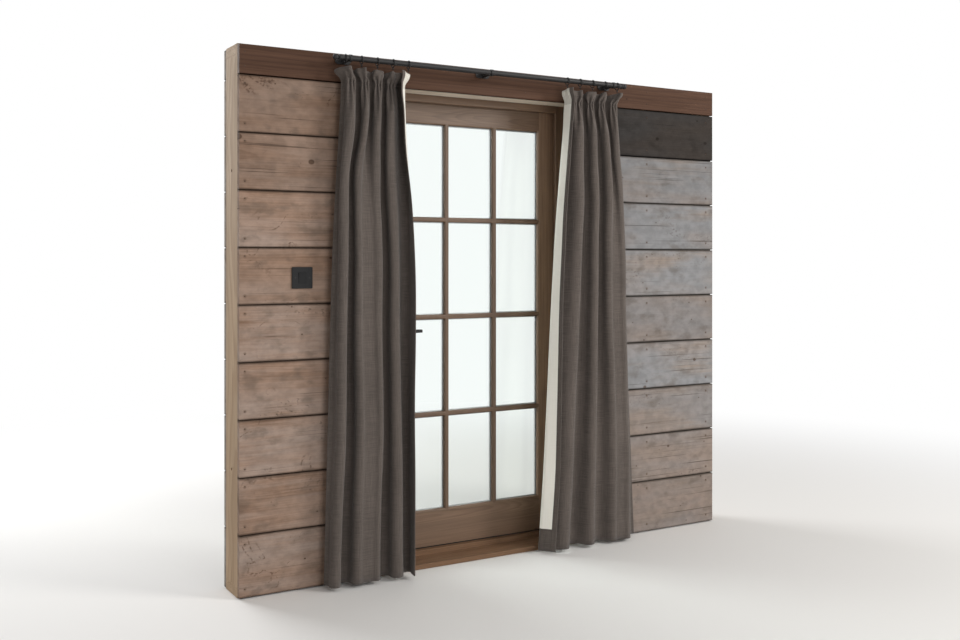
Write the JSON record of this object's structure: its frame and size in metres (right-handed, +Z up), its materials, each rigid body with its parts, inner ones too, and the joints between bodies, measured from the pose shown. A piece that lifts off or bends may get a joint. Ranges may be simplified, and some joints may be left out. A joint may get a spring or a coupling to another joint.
{
  "type": "timber wall bay with glazed door and curtains",
  "caption": "Boarded timber wall bay of a hut, with a glazed door hinged in a deep reveal and a pair of curtains on a pole.",
  "frame": {"origin": "underside of the threshold, at the middle of the doorway and of the wall's thickness", "axes": "+X to the right seen from the room, +Y outdoors, +Z up"},
  "size_m": [2.49, 0.3615, 2.2],
  "materials": {
    "frame_timber": "planed softwood, unfinished",
    "lining_boards": "sawn boards, thin whitewash, matt",
    "head_board_wood": "old sawn board, dark brown stain, matt",
    "cladding_boards": "sawn boards, weathered, matt",
    "reveal_boards": "dark stained board, satin",
    "soffit_board": "pale board, satin",
    "threshold_wood": "oiled hardwood, worn on the step",
    "door_wood": "brown stained hardwood, satin",
    "clear_glass": "clear glazing units",
    "hinge_steel": "satin steel",
    "black_iron": "black powder coat, satin",
    "curtain_linen": "heavy taupe grey linen, lined",
    "switch_black": "matt black plate"
  },
  "bodies": {
    "wall": {"sole_plate_left": "frame_timber", "sole_plate_right": "frame_timber", "stud_left_end": "frame_timber", "stud_left_door": "frame_timber", "stud_right_door": "frame_timber", "stud_right_middle": "frame_timber", "corner_post": "frame_timber", "lintel": "frame_timber", "top_plate": "frame_timber", "inner_boards_left": "lining_boards", "inner_boards_right": "lining_boards", "head_board": "head_board_wood", "outer_boards_left": "cladding_boards", "outer_boards_right": "cladding_boards", "outer_boards_over": "cladding_boards", "reveal_left": "reveal_boards", "reveal_right": "reveal_boards", "reveal_head": "soffit_board", "threshold": "threshold_wood", "frame_jamb_lock": "door_wood", "frame_jamb_hinge": "door_wood", "frame_head": "door_wood", "hinge_frame_halves": "hinge_steel", "strike_plate": "hinge_steel", "curtain_pole": "black_iron", "pole_brackets": "black_iron", "pole_finials": "black_iron", "curtain_rings": "black_iron", "curtain_left": "curtain_linen", "curtain_right": "curtain_linen", "light_switch": "switch_black"},
    "door_leaf": {"leaf_stile_lock": "door_wood", "leaf_stile_hinge": "door_wood", "leaf_top_rail": "door_wood", "leaf_bottom_rail": "door_wood", "glazing_bars": "door_wood", "glass_panes": "clear_glass", "glazing_beads": "door_wood", "weather_bar": "door_wood", "hinge_leaf_halves": "hinge_steel", "lock_forend": "hinge_steel", "handle_plate_inside": "black_iron", "handle_plate_outside": "black_iron"},
    "lever": {"lever_inside": "black_iron", "lever_outside": "black_iron"}
  },
  "joints": [
    {"name": "door_swing", "type": "hinge", "parent": "wall", "child": "door_leaf", "pos_m": [0.46825, 0.104, 1.05], "axis": [0, 0, -1], "range_deg": [0, 105]},
    {"name": "lever_turn", "type": "hinge", "parent": "door_leaf", "child": "lever", "pos_m": [-0.4175, 0.0755, 1.024], "axis": [0, 1, 0], "range_deg": [0, 35], "stiffness_Nm_per_rad": 0.8, "springref_deg": -34.38}
  ]
}
